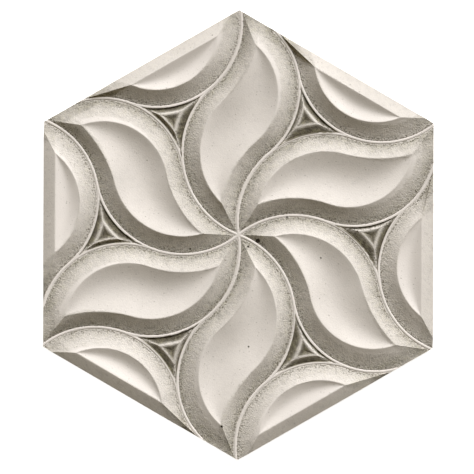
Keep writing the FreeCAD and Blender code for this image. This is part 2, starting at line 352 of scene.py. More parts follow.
def side_distance(point, first, second, begin):
    """How far a point lies from a side made of two circles that touch each other."""
    across = second[0] - first[0]
    beside_first = across.cross(point - first[0]).z * across.cross(begin - first[0]).z > 0
    centre, radius = first if beside_first else second
    return abs((raised(point, 0) - centre).length - radius)


def petal_depth(point):
    """The depth of a petal's dish at a point of its plan."""
    outer = side_distance(point, upper, end, crest_start)
    inner = side_distance(point, root, under, crest_start)
    return hollow_depth((outer, inner), PETAL_RIM_SLOPES, PETAL_FOLD)


bm = bmesh.new()
grow_leaf(bm, petal_foot, petal_crest, petal_depth)
six_times(bm)
petals = finish_solid(bm, "petals")

# %% [markdown]
# A border leaf fills the space between a tail, a belly and the side. On the next tile in
# a laid floor its twin meets it edge to edge, so the slope outside its straight crest
# drops only part of the way before the side cuts it off. That slope is a plain one, cut
# with a straight chisel, and the light on it hardly changes from the crest to the side.
# So the straight side of each ring is moved out to where the plane has the ring's level.
# Its low end runs on along the hollow flank. Towards its high end it dips a little to a
# straight mitre, which comes down to the foot where the bead leaves the tile. What sticks
# out past the side is trimmed later, as the rim of the die does it.

# %% The border leaves
LENS_BORDER, LENS_BAND = 8.8 * MM, 11.7 * MM
BORDER_SLOPE = math.tan(math.radians(20.8))
DIP_STEPS = 16
LENS_LOW_TIP, LENS_HIGH_TIP = 23.0 * MM, 34.9 * MM
LENS_RIM_SLOPES = [math.tan(math.radians(18))] * 2
LENS_FOLD = 2.3
LENS_STEPS = (40, 24, 64)

side, top = grown(low_tail, -BED), grown(belly, BED)
low = at_x(side, HALF + OVERRUN, low_side_corner)
shoulder = touch(top, side)
high = at_x(top, HALF + OVERRUN, side_middle)
lens_foot = outline_points(low, list(zip((side, top, None), (shoulder, high, low), LENS_STEPS)))

low = low_side_corner + Vector((-LENS_BORDER, LENS_LOW_TIP, 0))
high = at_x(grown(belly, BEAD), HALF, side_middle) - Vector((LENS_BORDER, LENS_HIGH_TIP, 0))
bulge = low.x - (low_tail[0].x - low_tail[1] + BEAD + LENS_BAND)
radius = ((high - low).length ** 2 / 4 + bulge ** 2) / (2 * bulge)
round_side = ((low + high) / 2 + Vector((radius - bulge, 0, 0)), radius)
shoulder = round_side[0] + (shoulder - round_side[0]).normalized() * radius
lens_crest = outline_points(
    low, list(zip((round_side, round_side, None), (shoulder, high, low), LENS_STEPS))
)


def lens_depth(point):
    """The depth of a border leaf's dish at a point of its plan."""
    from_round = round_side[1] - (raised(point, 0) - round_side[0]).length
    return hollow_depth((low.x - point.x, abs(from_round)), LENS_RIM_SLOPES, LENS_FOLD)


def border_plane(places, level):
    """Moves the straight side of a ring on to the plain border slope."""
    x = min(low.x + (CREST_LEVEL - level) / BORDER_SLOPE, HALF + OVERRUN)
    last, steps = sum(LENS_STEPS[:2]), LENS_STEPS[2]
    run = places[0] - places[1]
    low_end = places[0] + run * ((x - places[0].x) / run.x)
    share = ((x + places[last].x) / 2 - low.x) / (lens_foot[last].x - low.x)
    high_end = raised(lens_crest[last].lerp(lens_foot[last], share), level)
    straight = []
    for step in range(steps):
        place = high_end.lerp(low_end, step / steps)
        place.x = x + (high_end.x - x) * max(1 - step / DIP_STEPS, 0) ** 2
        straight.append(place)
    return [low_end] + places[1:last] + straight


bm = bmesh.new()
grow_leaf(bm, lens_foot, lens_crest, lens_depth, border_plane)
six_times(bm)
lenses = finish_solid(bm, "border_leaves")

# %% [markdown]
# Each bead is a half-round string that was laid into the die. Its section is a closed
# loop of vertices, spun along the circle like a lathe profile. The lead's bead goes
# on round the tail's centre without a break, because the two circles touch.

# %% The beads
BEAD_RISE = 0.34 * MM
BEAD_FLARE = 1.0 * MM  # how much wider the sunk skirt is on each side
BEAD_ACROSS = (-1, -0.9, -0.76, -0.5, 0, 0.5, 0.76, 0.9, 1)
STEP = 1.5 * MM
BEAD_OVERRUN = 3.0 * MM
SHORT_SCALE, LEAF_SCALE = 0.98, 0.96  # so that no two beads share a surface where they touch


def bead_section(bm, point, across, scale):
    """The closed section of a bead at a point, with a skirt that sinks into the blank."""
    ring = [bm.verts.new(raised(point - across * (BEAD + BEAD_FLARE), FOOT_LEVEL - SKIRT))]
    for share in BEAD_ACROSS:
        place = point + across * BEAD * share * scale
        level = FOOT_LEVEL + BEAD_RISE * scale * (1 - share ** 4)
        ring.append(bm.verts.new(raised(place, level)))
    ring.append(bm.verts.new(raised(point + across * (BEAD + BEAD_FLARE), FOOT_LEVEL - SKIRT)))
    return ring + [bm.edges.new(pair) for pair in zip(ring, ring[1:] + ring[:1])]


def run_bead(bm, geometry, circle, start_point, end_point, spare=0):
    """Spins a bead's open end round a circle from one point to another and a bit further."""
    here, there = start_point - circle[0], end_point - circle[0]
    angle = math.atan2(here.cross(there).z, here.dot(there))
    angle += math.copysign(spare / circle[1], angle)
    steps = round(abs(angle) * circle[1] / STEP)
    spun = bmesh.ops.spin(bm, geom=geometry, cent=circle[0], axis=UP, angle=angle, steps=steps)
    return spun["geom_last"]


def bead(name, legs, scale=1.0):
    """One closed bead along touching circles. A leg is its circle and its end."""
    bm = bmesh.new()
    here = legs[0][1]
    geometry = bead_section(bm, here, (here - legs[1][0][0]).normalized(), scale)
    for circle, end in legs[1:]:
        spare = BEAD_OVERRUN if circle is legs[-1][0] else 0
        geometry = run_bead(bm, geometry, circle, here, end, spare)
        here = end
    return finish_solid(bm, name)


long_bead = bead("long_bead", [(None, MIDDLE), (lead, touch(lead, tail)), (tail, corner)])
belly_end = at_x(belly, HALF, side_middle)
belly_start = touch(low_lead, belly)
short_bead = bead("short_bead", [(None, belly_start), (belly, belly_end)], SHORT_SCALE)
low_bend, shoulder = touch(low_lead, low_tail), touch(belly, low_tail)
leaf_bead = bead("leaf_bead", [(None, low_bend), (low_tail, shoulder)], LEAF_SCALE)

# %% [markdown]
# Between three beads lies a small sunk pit, a triangle with hollow sides, and in it a
# stud with a pointed socket in its top. The stud's three flanks differ in width, so the
# outline is drawn from three circles with an inset of its own for each side. It starts
# below the pit's floor, and its flank rises from the valley beside the beads' skirts.

# %% The pits and the studs
PIT_DEPTH = 1.2 * MM
PIT_LEVEL = FOOT_LEVEL - PIT_DEPTH
STUD_RISE = 1.0 * MM
STUD_LEVEL = FOOT_LEVEL + STUD_RISE
VALLEY_DEPTH = 0.6 * MM
FOOT_INSET = 0.25 * MM
PAST = 1.0 * MM  # how far a form or a cutter runs on past the surface that it meets
CREST_INSETS = (2.6 * MM, 5.8 * MM, 4.3 * MM)
STUD_STEPS = 14
STUD_FLANK = ((0.0, 1.0), (0.35, 0.88), (0.6, 0.69), (0.78, 0.43), (0.91, 0.16), (1.0, 0.03))
STUD_SOCKET = ((0.08, 0.0), (0.17, 0.03), (0.28, 0.14), (0.6, 0.56), (1.0, 1.0))
SOCKET_DEPTH = 1.1 * MM


def pit_points(insets):
    """The outline of a pit, at a distance inside each bead's side."""
    over, left, right = (grown(c, BEAD + i) for c, i in zip((belly, low_lead, low_tail), insets))
    a = crossing(over, left, pit_middle)
    b = crossing(over, right, pit_middle)
    c = crossing(left, right, pit_middle)
    return outline_points(a, [(over, b, STUD_STEPS), (right, c, STUD_STEPS), (left, a, STUD_STEPS)])


def grow_rings(bm, rings):
    """The walls of a form, from the places of its rings."""
    ring = [bm.verts.new(place) for place in rings[0]]
    for a, b in zip(ring, ring[1:] + ring[:1]):
        bm.edges.new((a, b))
    for places in rings[1:]:
        ring = climb(bm, ring, places)


bm = bmesh.new()
under_beads = pit_points([-BEAD / 2] * 3)
pit_levels = (PIT_LEVEL, CREST_LEVEL)
grow_rings(bm, [[raised(point, level) for point in under_beads] for level in pit_levels])
six_times(bm)
pits = finish_solid(bm, "pit_cutters")

stud_foot = pit_points([FOOT_INSET] * 3)
stud_crest = pit_points(CREST_INSETS)
stud_middle = sum(stud_crest, Vector()) / len(stud_crest)
rings = [[raised(point, PIT_LEVEL - PAST) for point in stud_foot]]
for share, drop in STUD_FLANK:
    level = STUD_LEVEL - (STUD_LEVEL - FOOT_LEVEL + VALLEY_DEPTH) * drop
    flank = [foot.lerp(crest, share) for foot, crest in zip(stud_foot, stud_crest)]
    rings.append([raised(point, level) for point in flank])
for share, drop in STUD_SOCKET:
    level = STUD_LEVEL - SOCKET_DEPTH * drop
    rings.append([raised(point.lerp(stud_middle, share), level) for point in stud_crest])
bm = bmesh.new()
grow_rings(bm, rings)
six_times(bm)
studs = finish_solid(bm, "studs")

# %% [markdown]
# The blank is a hexagon of clay, larger than the tile. The leaves are added, the pits are
# sunk, the studs and beads go in, and then everything outside the die's own outline is
# cut away. Boolean modifiers with the manifold solver do this in well under a second each,
# as long as every tool is a closed form. The count of open edges is printed for each tool.


# %% Press the face
def prism(name, levels_and_reaches):
    """A hexagon that rises through levels, each with its distance from the middle to a side."""
    bm = bmesh.new()
    start_level, start_reach = levels_and_reaches[0]
    radius = start_reach / math.cos(math.radians(TURN / 2))
    bmesh.ops.create_circle(bm, cap_ends=False, segments=LEAVES, radius=radius)
    ring = sorted(bm.verts, key=lambda v: math.atan2(v.co.y, v.co.x))
    for vert in ring:
        vert.co.z = start_level
    for level, reach in levels_and_reaches[1:]:
        places = [raised(vert.co * (reach / start_reach), level) for vert in ring]
        start_reach = reach
        ring = climb(bm, ring, places)
    return finish_solid(bm, name)


def press(blank, tool, operation, keep=False):
    """Joins a tool to the blank, cuts it out, or keeps only what both share."""
    modifier = blank.modifiers.new(tool.name, "BOOLEAN")
    modifier.object, modifier.operation, modifier.solver = tool, operation, "MANIFOLD"
    evaluated = blank.evaluated_get(bpy.context.evaluated_depsgraph_get())
    mesh = bpy.data.meshes.new_from_object(evaluated)
    blank.modifiers.clear()
    blank.data = mesh
    if not keep:
        bpy.data.objects.remove(tool)
    print(tool.name if keep else operation.lower(), len(mesh.polygons), "faces")


BLANK_BELOW, BLANK_SPARE = 4 * MM, 8 * MM
blank_reach = HALF + BLANK_SPARE
tile = prism("tile", [(-BLANK_BELOW, blank_reach), (FOOT_LEVEL, blank_reach)])
forms = ((petals, "UNION"), (lenses, "UNION"), (pits, "DIFFERENCE"), (studs, "UNION"))
for tool, operation in forms:
    press(tile, tool, operation)
for count in range(LEAVES):
    for string in (long_bead, short_bead, leaf_bead):
        string.data.transform(Matrix.Rotation(math.radians(TURN), 4, "Z"))
        press(tile, string, "UNION", keep=True)
for string in (long_bead, short_bead, leaf_bead):
    bpy.data.objects.remove(string)
FOOT_CHAMFER = 0.8 * MM
die = prism("die", [(0, HALF - FOOT_CHAMFER), (FOOT_CHAMFER, HALF), (CREST_LEVEL + PAST, HALF)])
press(tile, die, "INTERSECT")

# %% [markdown]
# The back is flat, with shallow keys that the bedding mortar fills. They all run the same
# way, at an even pitch, and stop at the same distance from the sides, so each key's ends
# follow the slant of the hexagon. They are cut like the pits, by closed forms.

# %% Cut the keys in the back
KEY_DEPTH, KEY_WIDTH, KEY_PITCH, KEY_MARGIN = 0.6 * MM, 8 * MM, 20 * MM, 12 * MM
key_reach = HALF - KEY_MARGIN
slope = math.tan(math.radians(TURN / 2))
key_count = int((key_reach - KEY_WIDTH / 2) // KEY_PITCH)
bm = bmesh.new()
for place in range(-key_count, key_count + 1):
    sides = [place * KEY_PITCH + half * KEY_WIDTH / 2 for half in (-1, 1)]
    ends = [Vector((x, key_reach * math.hypot(1, slope) - abs(x) * slope, 0)) for x in sides]
    outline = [Vector((end.x, -end.y, 0)) for end in ends] + ends[::-1]
    grow_rings(bm, [[raised(point, level) for point in outline] for level in (-PAST, KEY_DEPTH)])
press(tile, finish_solid(bm, "keys"), "DIFFERENCE")

# %% [markdown]
# The face is painted darker beside the beads, at the foot of the flanks and in the pits:
# painted shade of these hollows, with some grime. The materials need to know how near
# such a place is. The circles are known, so each vertex stores its exact distance from
# the nearest bead's middle line, from the nearest raised line of a stud and from the
# tile's side, in millimetres, and whether it lies in a pit or on a border leaf.


# %% Distances in the plan
def arc_distance(points, circle, start_point, end_point):
    """How far each point of the plan lies from an arc."""
    centre = np.array(circle[0][:2])
    offset = points - centre
    middle = (start_point + end_point) / 2 - circle[0]
    half_sweep = (start_point - circle[0]).angle(end_point - circle[0]) / 2
    away = np.arctan2(offset[:, 1], offset[:, 0]) - math.atan2(middle.y, middle.x)
    away = np.abs((away + math.pi) % (2 * math.pi) - math.pi)
    ends = [np.linalg.norm(points - np.array(end[:2]), axis=1) for end in (start_point, end_point)]
    radial = np.abs(np.linalg.norm(offset, axis=1) - circle[1])
    return np.where(away <= half_sweep, radial, np.minimum(*ends))


def line_distance(points, start_point, end_point):
    """How far each point of the plan lies from a straight line between two points."""
    first, last = np.array(start_point[:2]), np.array(end_point[:2])
    span = last - first
    share = np.clip((points - first) @ span / (span @ span), 0, 1)
    return np.linalg.norm(points - first - share[:, None] * span, axis=1)


def point_distance(points, middle):
    """How far each point of the plan lies from a single point."""
    return np.linalg.norm(points - np.array(middle[:2]), axis=1)


# %% Measure the face for the painted shade and wash
PIT_REACH = 26 * MM  # no point of a pit lies further from its middle
MITRE_SETBACK = 0.45 * MM  # a stud's mitres are painted a little less pale than the lines of its crest
mesh = tile.data
places = np.zeros(len(mesh.vertices) * 3)
mesh.vertices.foreach_get("co", places)
plan = places.reshape(-1, 3)[:, :2]
bead_distance = np.full(len(plan), np.inf)
arris_distance = np.full(len(plan), np.inf)
edge_distance = np.full(len(plan), np.inf)
in_pit = np.zeros(len(plan))
in_leaf = np.zeros(len(plan))
stud_corners = [stud_crest[STUD_STEPS * count] for count in range(3)]
foot_corners = [stud_foot[STUD_STEPS * count] for count in range(3)]
stud_sides = ((belly, 0), (low_tail, 2), (low_lead, 1))
stud_circles = [grown(circle, BEAD + CREST_INSETS[n]) for circle, n in stud_sides]
bead_arcs = (
    (lead, MIDDLE, touch(lead, tail)),
    (tail, touch(lead, tail), corner),
    (belly, belly_start, belly_end),
    (low_tail, low_bend, shoulder),
)
stud_arcs = list(zip(stud_circles, stud_corners, stud_corners[1:] + stud_corners[:1]))
for count in range(LEAVES):
    angle = math.radians(TURN * count)
    cosine, sine = math.cos(angle), math.sin(angle)
    around = plan @ np.array([[cosine, -sine], [sine, cosine]])
    for arc in bead_arcs:
        bead_distance = np.minimum(bead_distance, arc_distance(around, *arc))
    for arc in stud_arcs:
        arris_distance = np.minimum(arris_distance, arc_distance(around, *arc))
    for start_point, end_point in zip(stud_corners, foot_corners):
        mitre = line_distance(around, start_point, end_point) + MITRE_SETBACK
        arris_distance = np.minimum(arris_distance, mitre)
    edge_distance = np.minimum(edge_distance, HALF - around[:, 0])
    pit = point_distance(around, pit_middle) < PIT_REACH
    for centre, radius in (belly, low_lead, low_tail):
        pit &= point_distance(around, centre) > radius + BEAD / 2
    in_pit[pit] = 1
    leaf = point_distance(around, low_tail[0]) < low_tail[1] - BEAD / 2
    leaf &= point_distance(around, belly[0]) > belly[1] + BEAD / 2
    in_leaf[leaf & (around[:, 0] > 0)] = 1

# %% Store the distances on the mesh
stored = {
    "bead_distance": bead_distance / MM,
    "arris_distance": arris_distance / MM,
    "edge_distance": edge_distance / MM,
    "in_pit": in_pit,
    "in_leaf": in_leaf,
}
for name, values in stored.items():
    attribute = mesh.attributes.new(name, "FLOAT", "POINT")
    attribute.data.foreach_set("value", values)
    print(name, "from", round(values.min(), 2), "to", round(values.max(), 2))

# %% [markdown]
# The finished mesh takes the place of the plain CAD tile, which stays for collision only.
# The dishes and flanks are shaded smooth. Where two faces meet at more than the sharp
# angle, as at the crests and mitres, the edge stays crisp.

# %% Name the tile and put it in the frame
SHARP_ANGLE = 24
tile.name = mesh.name = "tile"
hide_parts("hexagon_tile")
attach(tile, "root")
mesh.shade_smooth()
mesh.set_sharp_from_angle(angle=math.radians(SHARP_ANGLE))
print(tile.name, len(mesh.vertices), "vertices,", len(mesh.polygons), "faces")

# %% [markdown]
# Materials are networks of nodes, and the helpers below keep the code that builds them
# short. They add a node with its settings, do sums, read a ramp and mix colours. The last
# two start a node group, naming what goes into it and what comes out, and place it.


# %% Helpers for nodes
def add(tree, kind, inputs=None, **settings):
    """Adds a node. An input is set to a value, or joined to a socket if it is one."""
    node = tree.nodes.new(kind)
    for name, value in settings.items():
        setattr(node, name, value)
    for key, value in (inputs or {}).items():
        if isinstance(value, bpy.types.NodeSocket):
            tree.links.new(value, node.inputs[key])
        else:
            node.inputs[key].default_value = value
    return node


def maths(tree, operation, *values):
    """The output of a Math node."""
    node = add(tree, "ShaderNodeMath", dict(enumerate(values)), operation=operation)
    return node.outputs[0]


def noise(tree, where, scale, detail, roughness):
    """The grey output of a Noise node."""
    inputs = {"Vector": where, "Scale": scale, "Detail": detail, "Roughness": roughness}
    return add(tree, "ShaderNodeTexNoise", inputs).outputs["Fac"]


def clamped(tree, value):
    """The value, kept between nothing and one."""
    return maths(tree, "MINIMUM", maths(tree, "MAXIMUM", value, 0.0), 1.0)


def plus_times(tree, level, value, factor):
    """A level, plus a value times a factor."""
    return maths(tree, "ADD", level, maths(tree, "MULTIPLY", value, factor))


def ramp(tree, factor, stops):
    """The grey output of a colour ramp whose stops are places and values."""
    node = add(tree, "ShaderNodeValToRGB", {"Fac": factor})
    elements = node.color_ramp.elements
    while len(elements) < len(stops):
        elements.new(0.5)
    for element, (place, value) in zip(elements, stops):
        element.position = place
        element.color = (value, value, value, 1)
    return node.outputs["Color"]


def mixed(tree, factor, a, b, blend="MIX"):
    """The colour output of a Mix node."""
    node = add(tree, "ShaderNodeMix", data_type="RGBA", blend_type=blend)
    for socket, value in ((node.inputs[0], factor), (node.inputs[6], a), (node.inputs[7], b)):
        if isinstance(value, bpy.types.NodeSocket):
            tree.links.new(value, socket)
        else:
            socket.default_value = value
    return node.outputs[2]


def new_group(name, inputs, outputs):
    """A node group with named float inputs and outputs. Gives its tree and its two ends."""
    tree = bpy.data.node_groups.new(name, "ShaderNodeTree")
    for socket, value in inputs.items():
        made = tree.interface.new_socket(socket, in_out="INPUT", socket_type="NodeSocketFloat")
        made.default_value = value
    for socket in outputs:
        tree.interface.new_socket(socket, in_out="OUTPUT", socket_type="NodeSocketFloat")
    return tree, tree.nodes.new("NodeGroupInput"), tree.nodes.new("NodeGroupOutput")


def use_group(tree, group, inputs):
    """Places a group in a material."""
    return add(tree, "ShaderNodeGroup", inputs, node_tree=group)


# %% [markdown]
# The clay shows in three scales. Broad clouds come from the firing, a fine grain comes
# from the pressed powder, and a few pores are left where a bubble burst. All of them are
# the same on the face and on the bare clay of the back, so they share one group.

# %% The clay's grain and pores
PORELESS = 0.62  # the share of the cells that hold no pore
PORE_SHARE = 0.022  # the size of a pore, as a share of its cell
clay, given, result = new_group("clay grain", {"Pores": 1.0}, ("Cloud", "Grain", "Pore"))
where = add(clay, "ShaderNodeTexCoord").outputs["Object"]
clay.links.new(noise(clay, where, scale=28, detail=3, roughness=0.55), result.inputs["Cloud"])
clay.links.new(noise(clay, where, scale=1000, detail=2, roughness=0.6), result.inputs["Grain"])
bubbles = add(clay, "ShaderNodeTexVoronoi", {"Vector": where, "Scale": 55, "Randomness": 1.0})
pick = add(clay, "ShaderNodeSeparateColor", {"Color": bubbles.outputs["Color"]}).outputs[0]
chosen = maths(clay, "GREATER_THAN", pick, PORELESS)
hole = maths(clay, "LESS_THAN", bubbles.outputs["Distance"], PORE_SHARE)
pore = maths(clay, "MULTIPLY", maths(clay, "MULTIPLY", chosen, hole), given.outputs["Pores"])
clay.links.new(pore, result.inputs["Pore"])
print(clay.name, len(clay.nodes), "nodes")

# %% [markdown]
# The painted shade is darkest in a narrow line beside each bead, in the valley at the foot
# of the flank, and thins out up the flank. A ramp over the stored distance gives how much
# of the clay's colour is left. A broad noise moves the ramp to and fro, though not on the
# bead itself, which stays even. Where little colour is left, the bump is made gritty.

# %% The painted shade beside the beads
REACH = 18.0  # where the ramp ends, in millimetres from a bead's middle line
# Painted shade: the share of the clay's colour left at each distance from a bead's middle line,
# darkest in the valley beside the bead.
BEAD_SHADE_STOPS = (
    (0.0, 0.96), (0.04, 0.94), (0.07, 0.84), (0.095, 0.58), (0.12, 0.54), (0.17, 0.57), (0.3, 0.65),
    (0.5, 0.75), (0.68, 0.79), (0.78, 0.93),
)
WANDER = 3.0  # how far the noise can move the ramp, from one extreme to the other
BEAD_CLEAR = 1.3
GRIT_GAIN, GRIT_MOST = 3.2, 1.2
shade_and_wash_inputs = {"Distance": 0.0, "Pit": 0.0, "Arris": 9.0, "Edge": 20.0, "Leaf": 0.0}
shade_and_wash_outputs = ("Left", "Deep", "Blotch", "Fleck", "Grit")
shade_and_wash, given, result = new_group("antiquing wash", shade_and_wash_inputs, shade_and_wash_outputs)
where = add(shade_and_wash, "ShaderNodeTexCoord").outputs["Object"]
away = given.outputs["Distance"]
drift = maths(shade_and_wash, "SUBTRACT", noise(shade_and_wash, where, scale=160, detail=2, roughness=0.5), 0.5)
wander = maths(shade_and_wash, "MULTIPLY", drift, WANDER)
beside = clamped(shade_and_wash, maths(shade_and_wash, "SUBTRACT", away, BEAD_CLEAR))
moved = plus_times(shade_and_wash, away, wander, beside)
left = ramp(shade_and_wash, maths(shade_and_wash, "DIVIDE", moved, REACH), BEAD_SHADE_STOPS)
grit = maths(shade_and_wash, "MULTIPLY", maths(shade_and_wash, "SUBTRACT", 1.0, left), GRIT_GAIN)
shade_and_wash.links.new(maths(shade_and_wash, "MINIMUM", grit, GRIT_MOST), result.inputs["Grit"])
print("thinnest wash from", round(REACH * BEAD_SHADE_STOPS[-1][0], 1), "mm off a bead's middle line")

# %% [markdown]
# Three things change that cover. The outer slopes of the border leaves are darker towards
# the tile's side, but not close to a bead, so there the change fades out. The inner flanks
# of the border leaves get less of the painted shade, above all beside their beads. And the
# cover is patchy, which the same broad noise gives, most of all where it is thick.

# %% The darkening along the edge and on the border leaves
EDGE_REACH = 10.0
EDGE_STOPS = ((0.0, 0.81), (0.8, 0.87), (0.92, 1.0))
FADE_START, FADE_RUN = 1.5, 6.0
NEAR_STOPS = (
    (0.0, 0.0), (0.05, 0.0), (0.07, 1.0), (0.15, 0.85), (0.22, 0.45), (0.33, 0.12), (0.72, 0.0),
)
LEAF_SPARED, LEAF_SPARED_NEAR = 0.05, 0.15
PATCHINESS = 0.55
edge = ramp(shade_and_wash, maths(shade_and_wash, "DIVIDE", given.outputs["Edge"], EDGE_REACH), EDGE_STOPS)
faded = maths(shade_and_wash, "SUBTRACT", FADE_START, maths(shade_and_wash, "DIVIDE", away, FADE_RUN))
edge = maths(shade_and_wash, "MINIMUM", maths(shade_and_wash, "MAXIMUM", edge, faded), 1.0)
left = maths(shade_and_wash, "MULTIPLY", left, edge)
nearness = ramp(shade_and_wash, maths(shade_and_wash, "DIVIDE", away, REACH), NEAR_STOPS)
spared = plus_times(shade_and_wash, LEAF_SPARED, nearness, LEAF_SPARED_NEAR)
on_leaf = maths(shade_and_wash, "MULTIPLY", given.outputs["Leaf"], beside)
left = plus_times(shade_and_wash, left, on_leaf, spared)
patchy = maths(shade_and_wash, "MULTIPLY", drift, PATCHINESS)
left = plus_times(shade_and_wash, left, patchy, maths(shade_and_wash, "SUBTRACT", 1.0, left))
print("edge ramp", EDGE_REACH, "mm wide,", len(shade_and_wash.nodes), "nodes so far")

# %% [markdown]
# In a pit, the distance from a bead says little. The pit is painted dark away from the
# raised lines of the stud, as painted shade in its hollows, and the lines stay pale, partly
# a painted highlight and partly rubbed wear. So two more ramps run over the distance from
# the nearest of these lines: what is left of the clay's colour, and how dark the painted
# shade is. The noise makes both ragged.

# %% The painted shade in the pits
STUD_REACH = 4.0
RAGGEDNESS = 0.45
# Painted shade in the pits: darker away from the stud's raised lines, which stay pale, partly as a
# painted highlight.
PIT_SHADE_STOPS = ((0.0, 0.8), (0.2, 0.72), (0.4, 0.5), (0.6, 0.38), (1.0, 0.28))
PIT_DARK_SHADE_STOPS = ((0.0, 0.0), (0.22, 0.0), (0.42, 0.4), (0.65, 0.75), (1.0, 0.95))
ragged = plus_times(shade_and_wash, given.outputs["Arris"], wander, RAGGEDNESS)
from_line = maths(shade_and_wash, "DIVIDE", ragged, STUD_REACH)
left = mixed(shade_and_wash, given.outputs["Pit"], left, ramp(shade_and_wash, from_line, PIT_SHADE_STOPS))
shade_and_wash.links.new(left, result.inputs["Left"])
deep = maths(shade_and_wash, "MULTIPLY", given.outputs["Pit"], ramp(shade_and_wash, from_line, PIT_DARK_SHADE_STOPS))
shade_and_wash.links.new(deep, result.inputs["Deep"])
print("stud ramps", STUD_REACH, "mm wide,", len(shade_and_wash.nodes), "nodes so far")

# %% [markdown]
# The darkened face is mottled, and tiny dark flecks of grime sit in the grain. The mottling
# is weighed by the cover, so the clean crests stay clean. A fleck is where a fine noise
# passes a limit, and the limit is lower near a bead, where the flecks are dense.

# %% Mottling and flecks
FLECK_LIMIT, FLECK_NEAR, FLECK_PATCHY = 0.72, 0.21, 0.12
FLECK_EDGE = 18.0  # the higher, the sharper the outline of a fleck
blotch = maths(shade_and_wash, "SUBTRACT", noise(shade_and_wash, where, scale=330, detail=5, roughness=0.8), 0.5)
blotch = maths(shade_and_wash, "MULTIPLY", blotch, maths(shade_and_wash, "SUBTRACT", 1.0, left))
shade_and_wash.links.new(blotch, result.inputs["Blotch"])
fine = noise(shade_and_wash, where, scale=950, detail=1, roughness=0.5)
limit = plus_times(shade_and_wash, FLECK_LIMIT, nearness, -FLECK_NEAR)
limit = plus_times(shade_and_wash, limit, patchy, FLECK_PATCHY)
fleck = maths(shade_and_wash, "MULTIPLY", maths(shade_and_wash, "SUBTRACT", fine, limit), FLECK_EDGE)
shade_and_wash.links.new(clamped(shade_and_wash, fleck), result.inputs["Fleck"])
print(shade_and_wash.name, len(shade_and_wash.nodes), "nodes")

# %% [markdown]
# The face's colour is the pale clay, drawn towards a brown by the cover, which is painted
# shade with some wash, and towards a dark brown in the pits, which is painted shade. The
# mottling goes from darker than the rest to lighter and more olive. The clouds and the
# grain of the clay and the dark flecks are laid over that, each as a layer of its own.

# %% The colour of the face
CLAY = (0.88, 0.83, 0.797, 1)
# The brown below is the colour of painted shade beside the beads, with some wash.
SHADE_AND_WASH_BROWN = (0.21, 0.19, 0.12, 1)
OLIVE = (0.24, 0.225, 0.13, 1)
FLECK_BROWN = (0.13, 0.115, 0.08, 1)
# The dark brown below is the colour of the painted shade in the pits.
PIT_SHADE_BROWN = (0.13, 0.11, 0.078, 1)
COVER_GAIN, OLIVE_GAIN, MOTTLE_GAIN, FLECK_COVER = 1.15, 6.0, 4.6, 0.8
GRAIN_LEVEL, GRAIN_GAIN = 0.97, 0.6
STORED_AS = {
    "Distance": "bead_distance", "Arris": "arris_distance", "Edge": "edge_distance",
    "Pit": "in_pit", "Leaf": "in_leaf",
}
face = bpy.data.materials.new("shaded_and_washed face")
face.use_nodes = True
tree = face.node_tree
measured = {}
for socket, name in STORED_AS.items():
    measured[socket] = add(tree, "ShaderNodeAttribute", attribute_name=name).outputs["Fac"]
shade_and_stain = use_group(tree, shade_and_wash, measured)
grainy = use_group(tree, clay, {"Pores": 1.0})
cover = maths(tree, "SUBTRACT", 1.0, shade_and_stain.outputs["Left"])
# Painted shade with some wash: the clay is drawn towards the brown by the cover.
colour = mixed(tree, maths(tree, "MULTIPLY", cover, COVER_GAIN), CLAY, SHADE_AND_WASH_BROWN)
# Painted shade: the pits are drawn towards the dark brown.
colour = mixed(tree, shade_and_stain.outputs["Deep"], colour, PIT_SHADE_BROWN)
olive = maths(tree, "MULTIPLY", maths(tree, "MAXIMUM", shade_and_stain.outputs["Blotch"], 0.0), OLIVE_GAIN)
colour = mixed(tree, olive, colour, OLIVE)
blotched = plus_times(tree, 1.0, shade_and_stain.outputs["Blotch"], MOTTLE_GAIN)
colour = mixed(tree, 1.0, colour, blotched, "MULTIPLY")
clouded = ramp(tree, grainy.outputs["Cloud"], ((0.3, 0.9), (0.7, 1.0)))
colour = mixed(tree, 1.0, colour, clouded, "MULTIPLY")
grained = maths(tree, "SUBTRACT", grainy.outputs["Grain"], 0.5)
grained = plus_times(tree, GRAIN_LEVEL, grained, maths(tree, "MULTIPLY", cover, GRAIN_GAIN))
colour = mixed(tree, 1.0, colour, grained, "MULTIPLY")
flecked = maths(tree, "MULTIPLY", shade_and_stain.outputs["Fleck"], FLECK_COVER)
colour = mixed(tree, flecked, colour, FLECK_BROWN)

# %% [markdown]
# A few single pores lie where this tile has them. Each is a small round spot: wherever
# the plan is nearer to the pore's middle than its radius, the pore shows.

# %% The single pores
PORE_BROWN = (0.05, 0.04, 0.03, 1)
PORES = (
    (14.2, -4.2, 1.6), (7.2, -8.4, 0.8), (35.4, 13.2, 0.7), (-35.2, -10.3, 0.7), (7.8, -81.5, 0.6),
    (-11.5, -139.5, 0.9), (60.2, -16.5, 0.6),
)
pore = grainy.outputs["Pore"]
place = add(tree, "ShaderNodeTexCoord").outputs["Object"]
flat = add(tree, "ShaderNodeVectorMath", {0: place, 1: (1, 1, 0)}, operation="MULTIPLY").outputs[0]
for x, y, radius in PORES:
    apart = add(tree, "ShaderNodeVectorMath", {0: flat, 1: (x * MM, y * MM, 0)}, operation="DISTANCE")
    inside = maths(tree, "LESS_THAN", apart.outputs["Value"], radius * MM)
    pore = maths(tree, "MAXIMUM", pore, inside)
colour = mixed(tree, pore, colour, PORE_BROWN)
print(len(PORES), "single pores")

# %% [markdown]
# A raking light finds what is rough. So the grain also sets how dull the surface is, and it
# goes to the bump, deeper where the painted shade is darkest. The mottling and the pores join
# it there. The clay has only a low gloss, a constant that belongs on the shader itself.

